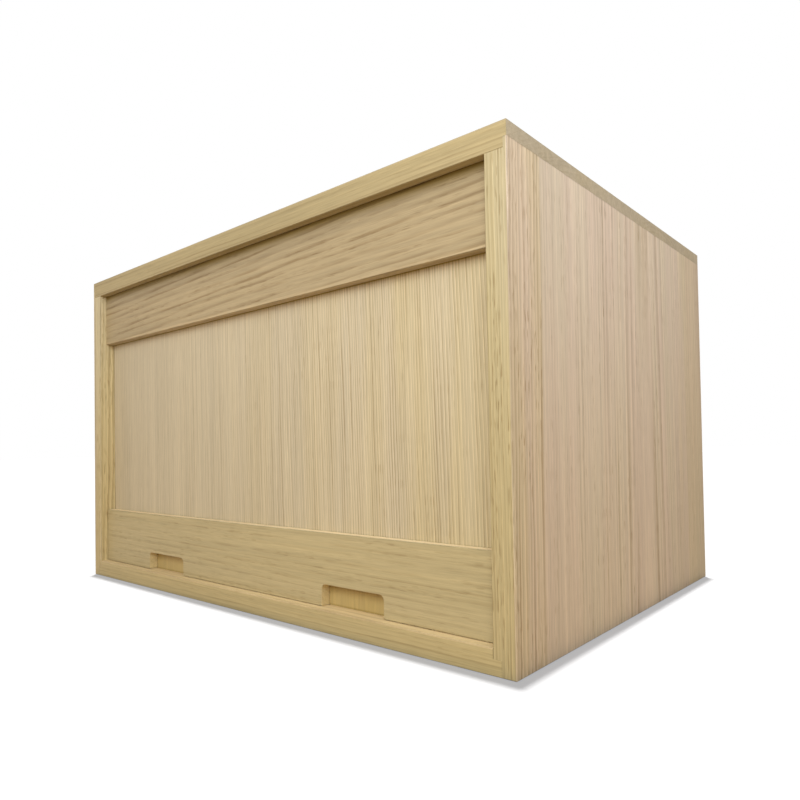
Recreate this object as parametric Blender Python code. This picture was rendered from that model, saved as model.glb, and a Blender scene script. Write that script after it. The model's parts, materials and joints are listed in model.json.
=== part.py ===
"""Front-opening storage box for folded kimono: a dowelled wooden case with a lid that lifts out.

Metres, +Z up. The box stands on z = 0, centred on X and Y, with its front facing -Y.
"""

import bmesh
import bpy
from mathutils import Vector

# The case
WIDTH = 0.680
DEPTH = 0.435
HEIGHT = 0.400
SIDE_THICKNESS = 0.020
TOP_THICKNESS = 0.020
BOTTOM_THICKNESS = 0.020
CASE_EASE = 0.0005  # chamfer along the case's long edges

# The top board laps over the sides, and a thin outer skin of each side rises beside its end
TOP_LIP_THICKNESS = 0.012
SIDE_SKIN = 0.003

# The tongue along each end of the bottom board, let into the sides
BOTTOM_TONGUE_LENGTH = 0.008
BOTTOM_TONGUE_THICKNESS = 0.012

# The back panel, held in a groove in the four boards round it
BACK_THICKNESS = 0.009
BACK_INSET = 0.010
BACK_GROOVE_DEPTH = 0.006

# The fixed strip under the top board, and the rail behind the lid's head
STRIP_SETBACK = 0.008
STRIP_THICKNESS = 0.0094
STRIP_HEIGHT = 0.066
INNER_RAIL_HEIGHT = 0.060
HOUSING_DEPTH = 0.006  # how far the ends of both are let into the sides

# The stop battens behind the lid's edges, in line with the inner rail
STOP_THICKNESS = 0.010
STOP_WIDTH = 0.010

# The lid: a panel whose foot stands in a groove, with a rail across its front
LID_THICKNESS = 0.010
LID_OVERLAP = 0.0195  # how far the panel stands up behind the strip
FOOT_DEPTH = 0.006
LID_RAIL_HEIGHT = 0.068
LID_EASE = 0.0006  # chamfer along the strip's and the lid's edges

# The finger notches in the lid rail's lower edge
NOTCH_WIDTH = 0.080
NOTCH_HEIGHT = 0.0205
NOTCH_RADIUS = 0.005
NOTCH_SPACING = 0.326

# Blind dowels between the boards
DOWEL_DIAMETER = 0.006
DOWEL_DEPTH = 0.020  # how deep a dowel stands in the board that it enters end on
TOP_DOWEL_COVER = 0.008  # wood left over a dowel in the top board
SIDE_DOWEL_COVER = 0.004  # wood left over a dowel in a side
DOWELS_PER_JOINT = 4
DOWEL_END_DISTANCE = 0.060

# Pegs through the stop battens into the sides, and through the lid panel into its rail
PEG_DIAMETER = 0.004
STOP_PEG_COVER = 0.010
STOP_PEGS = 3
STOP_PEG_END_DISTANCE = 0.040
RAIL_PEG_COVER = 0.003
RAIL_PEGS = 5
RAIL_PEG_END_DISTANCE = 0.050

# Clearances
FIT = 0.0003  # at a glued or pegged joint
LID_SIDE_PLAY = 0.001
LID_FRONT_PLAY = 0.0005
LID_BACK_PLAY = 0.003  # lets the lid tilt as its foot is drawn out
FOOT_PLAY = 0.0005
LEDGE_PLAY = 0.0005

# Fineness of round shapes, and how far a cutter reaches past the surface that it opens
EASE_SEGMENTS = 1
NOTCH_SEGMENTS = 6
ROD_SIDES = 16
CUT_MARGIN = 0.010

# Colours of the pale wood, as linear values
TOP_COLOUR = (0.56, 0.43, 0.23)
SIDE_COLOUR = (0.56, 0.43, 0.28)
BOTTOM_COLOUR = (0.46, 0.34, 0.16)
STRIP_COLOUR = (0.50, 0.37, 0.21)
PANEL_COLOUR = (0.59, 0.46, 0.28)
RAIL_COLOUR = (0.48, 0.36, 0.18)
INNER_COLOUR = (0.52, 0.40, 0.25)
DOWEL_COLOUR = (0.45, 0.31, 0.16)
WOOD_ROUGHNESS = 0.6

# Places that the pieces share
half_width = WIDTH / 2
front = -DEPTH / 2
back = DEPTH / 2
inner_x = half_width - SIDE_THICKNESS
tongue_x = inner_x + BOTTOM_TONGUE_LENGTH
housing_x = inner_x + HOUSING_DEPTH
back_groove_x = inner_x + BACK_GROOVE_DEPTH
floor_z = BOTTOM_THICKNESS
ceiling_z = HEIGHT - TOP_THICKNESS
lip_z = HEIGHT - TOP_LIP_THICKNESS
strip_front = front + STRIP_SETBACK
strip_back = strip_front + STRIP_THICKNESS
strip_bottom = ceiling_z - STRIP_HEIGHT
panel_front = strip_back + LID_FRONT_PLAY
panel_back = panel_front + LID_THICKNESS
panel_top = strip_bottom + LID_OVERLAP
lid_half_width = inner_x - LID_SIDE_PLAY
groove_floor = floor_z - FOOT_DEPTH
rail_bottom = floor_z + LEDGE_PLAY
rail_top = rail_bottom + LID_RAIL_HEIGHT
notch_top = rail_bottom + NOTCH_HEIGHT
stop_front = panel_back + LID_BACK_PLAY
stop_back = stop_front + STOP_THICKNESS
inner_rail_bottom = ceiling_z - INNER_RAIL_HEIGHT
back_panel_back = back - BACK_INSET
back_panel_front = back_panel_back - BACK_THICKNESS
back_groove_bottom = floor_z - BACK_GROOVE_DEPTH
back_groove_top = ceiling_z + BACK_GROOVE_DEPTH

FACINGS = {
    "left": Vector((-1, 0, 0)),
    "right": Vector((1, 0, 0)),
    "front": Vector((0, -1, 0)),
    "back": Vector((0, 1, 0)),
    "under": Vector((0, 0, -1)),
    "over": Vector((0, 0, 1)),
}
SIDES = {"left": -1, "right": 1}


def clear_scene():
    for thing in list(bpy.data.objects):
        bpy.data.objects.remove(thing, do_unlink=True)


def new_collection(name):
    collection = bpy.data.collections.new(name)
    bpy.context.scene.collection.children.link(collection)
    return collection


def wood(name, colour):
    material = bpy.data.materials.new(name)
    material.use_nodes = True
    shader = material.node_tree.nodes["Principled BSDF"]
    shader.inputs["Base Color"].default_value = (*colour, 1.0)
    shader.inputs["Roughness"].default_value = WOOD_ROUGHNESS
    shader.inputs["Metallic"].default_value = 0.0
    return material


def joins(edge, corner):
    """Whether a box's edge lies between the two faces that a corner such as "front over" names."""
    normals = [face.normal for face in edge.link_faces]
    return all(any(n.dot(FACINGS[word]) > 0.99 for n in normals) for word in corner.split())


def block(name, low, high, collection, eased=(), ease=0.0, segments=EASE_SEGMENTS):
    """A box between two corners, centred on its own origin, with the named edges eased."""
    low = Vector(low)
    high = Vector(high)
    shape = bmesh.new()
    bmesh.ops.create_cube(shape, size=1.0)
    bmesh.ops.scale(shape, vec=high - low, verts=shape.verts)
    chosen = [edge for edge in shape.edges if any(joins(edge, corner) for corner in eased)]
    if chosen:
        bmesh.ops.bevel(shape, geom=chosen, offset=ease, segments=segments, profile=0.5, affect="EDGES")
    mesh = bpy.data.meshes.new(name)
    shape.to_mesh(mesh)
    shape.free()
    piece = bpy.data.objects.new(name, mesh)
    piece.location = (low + high) / 2
    collection.objects.link(piece)
    return piece


def rod(name, start, end, radius, collection):
    """A round rod between two points, centred on its own origin."""
    start = Vector(start)
    end = Vector(end)
    run = end - start
    shape = bmesh.new()
    bmesh.ops.create_cone(
        shape, cap_ends=True, segments=ROD_SIDES, radius1=radius, radius2=radius, depth=run.length
    )
    mesh = bpy.data.meshes.new(name)
    shape.to_mesh(mesh)
    shape.free()
    mesh.shade_smooth()
    mesh.set_sharp_from_angle(angle=1.0)
    piece = bpy.data.objects.new(name, mesh)
    piece.rotation_mode = "QUATERNION"
    piece.rotation_quaternion = run.to_track_quat("Z", "Y")
    piece.location = (start + end) / 2
    collection.objects.link(piece)
    return piece


def as_cutter(tool):
    tool.hide_render = True
    tool.display_type = "WIRE"
    return tool


def cut(piece, tool):
    boolean = piece.modifiers.new(tool.name, "BOOLEAN")
    boolean.operation = "DIFFERENCE"
    boolean.solver = "EXACT"
    boolean.object = tool


def cut_box(piece, what, low, high, eased=(), ease=0.0, segments=EASE_SEGMENTS):
    name = f"{piece.name}_{what}"
    cut(piece, as_cutter(block(name, low, high, cutters, eased, ease, segments)))


def mirrored(side, low, high):
    """The corners of a box that is given for the right half of the case, on the side asked for."""
    if side > 0:
        return low, high
    return (-high[0], *low[1:]), (-low[0], *high[1:])


def evenly(start, end, count):
    """Places from start to end, both included."""
    step = (end - start) / (count - 1)
    return [start + step * place for place in range(count)]


def board(name, low, high, material, eased=(), ease=CASE_EASE):
    piece = block(name, low, high, parts, eased, ease)
    piece.data.materials.append(material)
    return piece


def make_top_board():
    eased = ["front over", "back over", "left over", "right over", "front under"]
    eased += ["front left", "front right", "back left", "back right"]
    low = (-half_width, front, ceiling_z)
    high = (half_width, back, HEIGHT)
    top = board("top_board", low, high, wood("top_board_wood", TOP_COLOUR), eased)
    for name, side in SIDES.items():
        rebate = mirrored(
            side,
            (half_width - SIDE_SKIN - FIT, front - CUT_MARGIN, ceiling_z - CUT_MARGIN),
            (half_width + CUT_MARGIN, back + CUT_MARGIN, lip_z),
        )
        cut_box(top, f"{name}_rebate", *rebate)
    cut_box(
        top,
        "back_groove",
        (-back_groove_x, back_panel_front - FIT, ceiling_z - CUT_MARGIN),
        (back_groove_x, back_panel_back + FIT, back_groove_top),
    )
    return top


def make_bottom_board():
    eased = ["front over", "front under", "back under"]
    low = (-tongue_x + FIT, front, 0)
    high = (tongue_x - FIT, back, floor_z)
    bottom = board("bottom_board", low, high, wood("bottom_board_wood", BOTTOM_COLOUR), eased)
    for name, side in SIDES.items():
        shoulder = mirrored(
            side,
            (inner_x - FIT, front - CUT_MARGIN, BOTTOM_TONGUE_THICKNESS),
            (tongue_x + CUT_MARGIN, back + CUT_MARGIN, floor_z + CUT_MARGIN),
        )
        cut_box(bottom, f"{name}_shoulder", *shoulder)
    cut_box(
        bottom,
        "lid_groove",
        (-tongue_x - CUT_MARGIN, panel_front - FOOT_PLAY, groove_floor),
        (tongue_x + CUT_MARGIN, panel_back + FOOT_PLAY, floor_z + CUT_MARGIN),
    )
    cut_box(
        bottom,
        "back_groove",
        (-tongue_x - CUT_MARGIN, back_panel_front - FIT, back_groove_bottom),
        (tongue_x + CUT_MARGIN, back_panel_back + FIT, floor_z + CUT_MARGIN),
    )
    return bottom


def make_side_board(name, side):
    facing_in = "left" if side > 0 else "right"
    eased = [f"front {name}", f"back {name}", f"under {name}"]
    eased += [f"front {facing_in}", "front under", "back under"]
    low, high = mirrored(side, (inner_x, front, 0), (half_width, back, lip_z - FIT))
    material = wood(f"{name}_side_board_wood", SIDE_COLOUR)
    piece = board(f"{name}_side_board", low, high, material, eased)
    inside = inner_x - CUT_MARGIN
    above = lip_z + CUT_MARGIN
    cuts = {
        "top_rebate": (
            (inside, front - CUT_MARGIN, ceiling_z - FIT),
            (half_width - SIDE_SKIN, back + CUT_MARGIN, above),
        ),
        "tongue_rebate": (
            (inside, front - CUT_MARGIN, -CUT_MARGIN),
            (tongue_x, back + CUT_MARGIN, BOTTOM_TONGUE_THICKNESS + FIT),
        ),
        "strip_housing": (
            (inside, strip_front - FIT, strip_bottom - FIT),
            (housing_x, strip_back + FIT, above),
        ),
        "inner_rail_housing": (
            (inside, stop_front - FIT, inner_rail_bottom - FIT),
            (housing_x, stop_back + FIT, above),
        ),
        "back_groove": (
            (inside, back_panel_front - FIT, back_groove_bottom),
            (back_groove_x, back_panel_back + FIT, above),
        ),
    }
    for what, corners in cuts.items():
        cut_box(piece, what, *mirrored(side, *corners))
    return piece


def make_back_panel():
    low = (-back_groove_x + FIT, back_panel_front, back_groove_bottom + FIT)
    high = (back_groove_x - FIT, back_panel_back, back_groove_top - FIT)
    return board("back_panel", low, high, wood("back_panel_wood", INNER_COLOUR))


def make_strip_and_inner_rail():
    low = (-housing_x + FIT, strip_front, strip_bottom)
    high = (housing_x - FIT, strip_back, ceiling_z - FIT)
    material = wood("upper_front_strip_wood", STRIP_COLOUR)
    board("upper_front_strip", low, high, material, ["front under", "back under"], LID_EASE)
    low = (-housing_x + FIT, stop_front, inner_rail_bottom)
    high = (housing_x - FIT, stop_back, ceiling_z - FIT)
    material = wood("upper_inner_rail_wood", INNER_COLOUR)
    board("upper_inner_rail", low, high, material, ["front under", "back under"], LID_EASE)


def make_stop_batten(name, side):
    low, high = mirrored(
        side,
        (inner_x - STOP_WIDTH, stop_front, floor_z + FIT),
        (inner_x - FIT, stop_back, inner_rail_bottom - FIT),
    )
    material = wood(f"{name}_stop_batten_wood", INNER_COLOUR)
    return board(f"{name}_stop_batten", low, high, material)


def make_lid_slide():
    """The empty that the lid hangs on, on the line along which it lifts."""
    slide = bpy.data.objects.new("lid_slide", None)
    slide.location = (0, (panel_front + panel_back) / 2, groove_floor + FIT)
    parts.objects.link(slide)
    return slide


def hang_on(slide, piece):
    piece.parent = slide
    piece.location = Vector(piece.location) - slide.location


def make_lid_panel():
    low = (-lid_half_width, panel_front, groove_floor + FIT)
    high = (lid_half_width, panel_back, panel_top)
    material = wood("lid_panel_wood", PANEL_COLOUR)
    return board("lid_panel", low, high, material, ["front over", "back over"], LID_EASE)


def make_lid_rail():
    low = (-lid_half_width, strip_front, rail_bottom)
    high = (lid_half_width, panel_front - FIT, rail_top)
    material = wood("lid_bottom_rail_wood", RAIL_COLOUR)
    rail = board("lid_bottom_rail", low, high, material, ["front over", "front under"], LID_EASE)
    for name, side in SIDES.items():
        middle = side * NOTCH_SPACING / 2
        cut_box(
            rail,
            f"{name}_notch",
            (middle - NOTCH_WIDTH / 2, strip_front - CUT_MARGIN, rail_bottom - CUT_MARGIN),
            (middle + NOTCH_WIDTH / 2, panel_front + CUT_MARGIN, notch_top),
            ["left over", "right over"],
            NOTCH_RADIUS,
            NOTCH_SEGMENTS,
        )
    return rail


def peg(name, start, end, diameter, boards, material, open_by=0.0):
    """A wooden peg from start to end, and its hole in the boards, open past start by open_by."""
    start = Vector(start)
    end = Vector(end)
    along = (end - start).normalized()
    piece = rod(name, start, end, diameter / 2, parts)
    piece.data.materials.append(material)
    reach_back = max(open_by, FIT)
    hole = rod(f"{name}_hole", start - along * reach_back, end + along * FIT, diameter / 2 + FIT, cutters)
    as_cutter(hole)
    for pierced in boards:
        cut(pierced, hole)
    return piece


def make_case_dowels(name, side, top, bottom, side_board):
    """The blind dowels of one side's two corner joints, upright in the top one and level in the bottom one."""
    material = wood(f"{name}_dowel_wood", DOWEL_COLOUR)
    upright_x = side * (half_width - SIDE_THICKNESS / 2)
    level_z = BOTTOM_TONGUE_THICKNESS / 2
    places = evenly(front + DOWEL_END_DISTANCE, back - DOWEL_END_DISTANCE, DOWELS_PER_JOINT)
    for number, y in enumerate(places, start=1):
        peg(
            f"top_dowel_{name}_{number}",
            (upright_x, y, ceiling_z - DOWEL_DEPTH),
            (upright_x, y, HEIGHT - TOP_DOWEL_COVER),
            DOWEL_DIAMETER,
            [top, side_board],
            material,
        )
        peg(
            f"bottom_dowel_{name}_{number}",
            (side * (tongue_x - DOWEL_DEPTH), y, level_z),
            (side * (half_width - SIDE_DOWEL_COVER), y, level_z),
            DOWEL_DIAMETER,
            [bottom, side_board],
            material,
        )


def make_stop_pegs(name, side, batten, side_board):
    """The pegs driven through one stop batten into its side, flush with the batten's face."""
    material = wood(f"{name}_stop_peg_wood", DOWEL_COLOUR)
    y = (stop_front + stop_back) / 2
    lowest = floor_z + STOP_PEG_END_DISTANCE
    highest = inner_rail_bottom - STOP_PEG_END_DISTANCE
    for number, z in enumerate(evenly(lowest, highest, STOP_PEGS), start=1):
        peg(
            f"stop_peg_{name}_{number}",
            (side * (inner_x - STOP_WIDTH), y, z),
            (side * (half_width - STOP_PEG_COVER), y, z),
            PEG_DIAMETER,
            [batten, side_board],
            material,
            CUT_MARGIN,
        )


def make_rail_pegs(slide, panel, rail):
    """The pegs driven through the lid's panel from behind into its rail, above the notches."""
    material = wood("lid_rail_peg_wood", DOWEL_COLOUR)
    z = (notch_top + rail_top) / 2
    end_x = lid_half_width - RAIL_PEG_END_DISTANCE
    for number, x in enumerate(evenly(-end_x, end_x, RAIL_PEGS), start=1):
        piece = peg(
            f"lid_rail_peg_{number}",
            (x, panel_back, z),
            (x, strip_front + RAIL_PEG_COVER, z),
            PEG_DIAMETER,
            [panel, rail],
            material,
            CUT_MARGIN,
        )
        hang_on(slide, piece)


clear_scene()
parts = new_collection("kimono_storage_box")
cutters = new_collection("cutters")

top_board = make_top_board()
bottom_board = make_bottom_board()
make_back_panel()
make_strip_and_inner_rail()
for side_name, side_sign in SIDES.items():
    wall = make_side_board(side_name, side_sign)
    stop = make_stop_batten(side_name, side_sign)
    make_case_dowels(side_name, side_sign, top_board, bottom_board, wall)
    make_stop_pegs(side_name, side_sign, stop, wall)

lid_slide = make_lid_slide()
lid_panel = make_lid_panel()
lid_rail = make_lid_rail()
hang_on(lid_slide, lid_panel)
hang_on(lid_slide, lid_rail)
make_rail_pegs(lid_slide, lid_panel, lid_rail)
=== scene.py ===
"""The looks of a front-opening kimono storage box: planed boards, turned pegs and a plain stage.

Laid out as an add-on and run as a script. Lengths are metres, and millimetres inside the wood's nodes.
"""

import json
import math
from collections import namedtuple

import bmesh
import bpy
from bpy.props import FloatProperty, FloatVectorProperty, IntProperty, PointerProperty
from mathutils import Matrix, Vector


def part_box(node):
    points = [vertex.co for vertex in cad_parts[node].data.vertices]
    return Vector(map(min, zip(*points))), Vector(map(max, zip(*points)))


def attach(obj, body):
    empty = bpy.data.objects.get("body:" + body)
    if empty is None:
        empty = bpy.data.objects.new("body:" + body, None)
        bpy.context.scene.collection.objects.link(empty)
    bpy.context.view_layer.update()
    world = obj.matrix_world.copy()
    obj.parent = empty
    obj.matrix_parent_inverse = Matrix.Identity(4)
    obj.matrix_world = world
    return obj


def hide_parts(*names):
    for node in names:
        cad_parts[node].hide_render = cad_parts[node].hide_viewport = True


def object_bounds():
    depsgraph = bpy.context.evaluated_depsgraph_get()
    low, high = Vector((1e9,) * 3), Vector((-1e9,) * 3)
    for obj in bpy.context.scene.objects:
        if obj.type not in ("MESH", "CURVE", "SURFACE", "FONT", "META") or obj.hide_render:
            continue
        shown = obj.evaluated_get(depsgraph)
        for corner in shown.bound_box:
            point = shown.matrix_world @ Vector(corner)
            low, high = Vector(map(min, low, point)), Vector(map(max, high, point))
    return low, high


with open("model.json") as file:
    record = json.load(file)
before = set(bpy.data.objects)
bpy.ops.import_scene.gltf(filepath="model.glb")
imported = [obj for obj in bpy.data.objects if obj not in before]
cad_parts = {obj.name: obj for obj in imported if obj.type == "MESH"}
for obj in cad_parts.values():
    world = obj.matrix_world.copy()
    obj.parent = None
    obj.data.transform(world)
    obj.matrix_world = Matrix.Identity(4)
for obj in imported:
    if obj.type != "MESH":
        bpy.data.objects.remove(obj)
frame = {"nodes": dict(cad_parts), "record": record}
cad_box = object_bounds()

bl_info = {
    "name": "Kimono Storage Box",
    "version": (1, 0, 0),
    "blender": (4, 5, 0),
    "location": "3D View > Sidebar > Kimono Box",
    "description": "Planes the boards of a kimono storage box, pegs them and sets the box on a plain stage",
    "category": "Object",
}

MILLIMETRES = 1000.0  # in a metre

# How a stave was sawn from its log: where it starts across the board, where the log's heart was, across
# the board and below its show face, and how wide the rings grew. All are millimetres, and across is
# counted from the board's first edge: left, front or foot.
Stave = namedtuple("Stave", "starts heart_across heart_deep ring_width")

# How the wood looks so many millimetres across the board: how strong its ring lines and pores are, how
# light it is and how warm. It runs smoothly from each place to the next. Warmth comes in patches, and above
# 1 it is more and more warm all over.
Look = namedtuple("Look", "at lines pores lightness warmth")

# How a board lies: the axes of its width, its grain and its thickness, the end of the last axis that its
# show face is at, and its staves and looks. Late is the share of a ring that its dark line takes, pale is
# how light the edge next to it is, and run is how many millimetres a line goes before it fades. Rings
# wander by so many millimetres, and lean and taper by so many to each one along the grain. The last field
# but one is how much painted shade darkens and yellows the board at its first end, fading to none at its
# far end, as light from above would leave it, and blush is how pink it is between its warm patches.
Board = namedtuple(
    "Board",
    "axes shows staves looks late pale run wander lean taper aged blush",
    defaults=(0.0, 0.0, 0.0, 0.0),
)

# Painted shade in a corner or crease: the heights where it ends and where it is darkest, how strong it is
# there, and whether it lies on the part of a board that another one covers.
Dust = namedtuple("Dust", "ends thickest amount covered")

SIDE_STAVES = (
    Stave(0.0, 222.0, 333.0, 2.5),
    Stave(46.0, 250.0, 95.0, 4.0),
)
SIDE_LOOKS = (
    Look(0.0, 0.90, 2.0, 1.04, 1.25),
    Look(43.0, 0.95, 2.0, 1.04, 1.20),
    Look(47.0, 0.22, 0.8, 1.08, 0.10),
    Look(125.0, 0.30, 1.0, 1.09, 0.00),
    Look(150.0, 0.56, 1.2, 1.08, 0.05),
    Look(205.0, 0.64, 1.1, 1.08, 0.10),
    Look(240.0, 0.66, 1.0, 1.08, 0.15),
    Look(290.0, 0.56, 1.1, 1.04, 0.20),
    Look(325.0, 0.28, 0.9, 1.01, 0.20),
    Look(370.0, 0.25, 0.9, 0.99, 1.00),
    Look(395.0, 0.25, 0.9, 0.96, 1.90),
    Look(435.0, 0.25, 0.9, 0.87, 2.00),
)
LEFT_SIDE_LIGHTNESS = 1.14  # against the right side
LEFT_SIDE_LOOKS = tuple(
    look._replace(lightness=look.lightness * LEFT_SIDE_LIGHTNESS) for look in SIDE_LOOKS
)
PANEL_STAVES = (
    Stave(0.0, 1500.0, 120.0, 4.2),
    Stave(118.0, 2300.0, 130.0, 4.8),
    Stave(206.0, 1900.0, 60.0, 5.2),
    Stave(281.0, 1600.0, 120.0, 3.8),
    Stave(381.0, 2400.0, 160.0, 3.3),
    Stave(497.0, 1700.0, 120.0, 2.9),
    Stave(579.0, 2000.0, 90.0, 3.4),
)
PANEL_LOOKS = (
    Look(0.0, 0.20, 0.3, 0.98, 0.10),
    Look(110.0, 0.20, 0.3, 0.99, 0.10),
    Look(205.0, 0.32, 0.3, 1.00, 0.10),
    Look(276.0, 0.32, 0.3, 1.00, 0.10),
    Look(280.0, 0.20, 0.2, 1.07, 0.00),
    Look(284.0, 0.30, 0.4, 1.00, 0.30),
    Look(345.0, 0.48, 0.5, 0.98, 0.40),
    Look(390.0, 0.68, 0.7, 1.00, 0.40),
    Look(500.0, 0.72, 0.7, 1.01, 0.80),
    Look(570.0, 0.66, 0.7, 1.00, 1.30),
    Look(638.0, 0.60, 0.7, 0.98, 2.00),
)
BACK_STAVES = (
    Stave(0.0, 1500.0, 120.0, 4.4),
    Stave(118.0, 1900.0, 130.0, 3.8),
    Stave(240.0, 318.0, 110.0, 4.4),
    Stave(398.0, 1700.0, 120.0, 4.6),
    Stave(531.0, 2100.0, 150.0, 3.5),
)
BACK_LOOKS = (
    Look(0.0, 0.50, 0.4, 0.99, 0.45),
    Look(200.0, 0.70, 0.5, 1.01, 0.30),
    Look(320.0, 0.75, 0.3, 1.00, 0.55),
    Look(480.0, 0.45, 0.4, 0.98, 0.60),
    Look(640.0, 0.75, 0.5, 1.01, 0.35),
)
LYING_STAVES = (
    Stave(0.0, 160.0, 260.0, 3.6),
    Stave(122.0, 620.0, 160.0, 4.2),
    Stave(256.0, 305.0, 105.0, 4.4),
    Stave(368.0, 900.0, 140.0, 4.0),
)
LYING_LOOKS = (
    Look(0.0, 0.45, 0.5, 1.00, 0.25),
    Look(130.0, 0.50, 0.5, 1.01, 0.50),
    Look(310.0, 0.70, 0.4, 0.99, 0.40),
    Look(435.0, 0.50, 0.5, 1.01, 0.50),
)
STRIP_STAVES = (Stave(0.0, 420.0, 300.0, 6.4),)
# The strip's lightness holds a painted highlight along its lower arris, 0.8 to 2.2 mm up, and painted shade
# under the top board's overhang, darker from 42 mm and warmer from 52 mm up to its top
STRIP_LOOKS = (
    Look(0.0, 0.80, 1.0, 1.05, 0.10),
    Look(0.8, 0.80, 1.0, 1.24, 0.10),
    Look(2.2, 0.80, 1.0, 1.20, 0.10),
    Look(3.4, 0.80, 1.0, 1.00, 0.10),
    Look(42.0, 0.80, 1.0, 1.00, 0.10),
    Look(52.0, 0.78, 1.0, 0.88, 0.30),
    Look(58.0, 0.76, 1.0, 0.82, 0.60),
    Look(66.0, 0.75, 1.0, 0.80, 0.60),
)
RAIL_STAVES = (Stave(0.0, 380.0, 420.0, 4.4),)
RAIL_LOOKS = (Look(0.0, 0.45, 0.9, 1.00, 0.15), Look(68.0, 0.40, 0.8, 1.00, 0.20))
INNER_STAVES = (Stave(0.0, 640.0, 90.0, 4.2),)
INNER_LOOKS = (Look(0.0, 0.60, 0.5, 1.00, 0.35), Look(60.0, 0.60, 0.5, 1.00, 0.45))

RIGHT_SIDE = Board(
    axes="YZX", shows="high", staves=SIDE_STAVES, looks=SIDE_LOOKS,
    late=0.6, pale=0.16, run=420.0, wander=2.2, taper=0.009, aged=1.0, blush=1.0,
)
LEFT_SIDE = RIGHT_SIDE._replace(shows="low", looks=LEFT_SIDE_LOOKS)
LYING = Board(
    axes="YXZ", shows="high", staves=LYING_STAVES, looks=LYING_LOOKS,
    late=0.5, pale=0.10, run=220.0, wander=2.0, lean=0.006, taper=0.004,
)
PANEL = Board(
    axes="XZY", shows="low", staves=PANEL_STAVES, looks=PANEL_LOOKS,
    late=0.5, pale=0.40, run=260.0, wander=1.5, lean=0.03, aged=0.45,
)
BACK = Board(
    axes="XZY", shows="high", staves=BACK_STAVES, looks=BACK_LOOKS,
    late=0.6, pale=0.15, run=320.0, wander=1.5, lean=-0.01, taper=0.006,
)
STRIP = Board(
    axes="ZXY", shows="low", staves=STRIP_STAVES, looks=STRIP_LOOKS,
    late=0.5, pale=0.04, run=70.0, wander=2.4, lean=-0.045,
)
RAIL = Board(
    axes="ZXY", shows="low", staves=RAIL_STAVES, looks=RAIL_LOOKS,
    late=0.4, pale=0.05, run=50.0, wander=1.5, lean=0.01,
)
INNER_RAIL = Board(
    axes="ZXY", shows="high", staves=INNER_STAVES, looks=INNER_LOOKS,
    late=0.5, pale=0.10, run=200.0, wander=1.5, lean=0.01,
)
BATTEN = INNER_RAIL._replace(axes="YZX")


def length_property(name, default, description):
    """A length in metres."""
    return FloatProperty(name=name, description=description, default=default, unit="LENGTH", min=0.0)


def angle_property(name, degrees, description):
    """An angle, given in degrees."""
    return FloatProperty(
        name=name, description=description, default=math.radians(degrees), unit="ROTATION"
    )


def colour_property(name, default, description):
    """A colour as linear red, green and blue."""
    return FloatVectorProperty(
        name=name, description=description, default=default, subtype="COLOR", size=3, min=0.0, max=1.0
    )


def light_property(name, default, description):
    """A lamp's watts, or the strength of other light."""
    return FloatProperty(name=name, description=description, default=default, min=0.0)


class KimonoBoxSizes(bpy.types.PropertyGroup):
    """Sizes of the finished edges and pegs"""

    arris: length_property("Arris", 0.00014, "Softening of an edge left by the plane")
    arris_steps: IntProperty(
        name="Arris Steps", description="Facets round a softened edge", default=2, min=1
    )
    snug: length_property("Snug", 0.00012, "How far the case's boards press into their glued joints")
    peg_chamfer: length_property("Peg Chamfer", 0.0006, "Chamfer at a peg's ends")
    flute_depth: length_property("Flute Depth", 0.00025, "Depth of the glue flutes along a dowel")
    flutes: IntProperty(name="Flutes", description="Glue flutes round a dowel", default=12, min=3)


class KimonoBoxColours(bpy.types.PropertyGroup):
    """Colours of the woods"""

    top: colour_property("Top Board", (0.422, 0.337, 0.180), "The top board's long edges and underside")
    top_face: colour_property("Top Board Face", (0.50, 0.41, 0.255), "The top board's upper face")
    top_end: colour_property("Top Board Ends", (0.424, 0.365, 0.270), "The top board's two ends")
    bottom: colour_property("Bottom Board", (0.515, 0.408, 0.203), "The bottom board's front edge")
    # Painted light: the bottom board's upper face is paler than its front, as light from above would make it
    ledge: colour_property("Ledge", (0.70, 0.54, 0.30), "The bottom board's upper face")
    side: colour_property("Sides", (0.60, 0.522, 0.42), "The two sides' outer faces")
    stile: colour_property("Stiles", (0.505, 0.437, 0.29), "The two sides' front edges and inner faces")
    panel: colour_property("Lid Panel", (0.555, 0.476, 0.338), "The lid's panel")
    foot: colour_property("Lid Foot", (0.51, 0.39, 0.172), "The lid panel behind its rail")
    rail: colour_property("Lid Rail", (0.48, 0.389, 0.209), "The lid rail's front")
    # Painted light: the rail's upper face is paler than its front, as light from above would make it
    rail_edge: colour_property("Lid Rail Edges", (0.80, 0.64, 0.40), "The lid rail's edges")
    rail_end: colour_property("Lid Rail Ends", (0.63, 0.505, 0.265), "The lid rail's ends and notch walls")
    strip: colour_property("Front Strip", (0.42, 0.328, 0.193), "The fixed strip")
    inner: colour_property("Inner Wood", (0.55, 0.43, 0.26), "The back, the inner rail and the battens")
    dowel: colour_property("Dowels", (0.47, 0.33, 0.17), "The dowels and pegs")
    # Painted shade: what the boards' feet keep of a colour, darker and yellower, as light from above would
    # leave them
    aged: colour_property("Aged Foot", (0.91, 0.86, 0.75), "What aged feet of boards leave of a colour")
    late: colour_property("Ring Lines", (0.64, 0.575, 0.49), "What a dark ring line leaves of a colour")
    # Painted shade: the dark brown laid into corners and creases in place of their shade
    painted_shade: colour_property("Dust", (0.50, 0.405, 0.07), "What the dust in the corners leaves of a colour")
    blush: colour_property("Pink Wood", (1.0, 0.955, 0.985), "What the pinker parts leave of a colour")
    warm: colour_property("Warm Wood", (1.0, 0.975, 0.86), "What the yellower parts leave of a colour")


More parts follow.
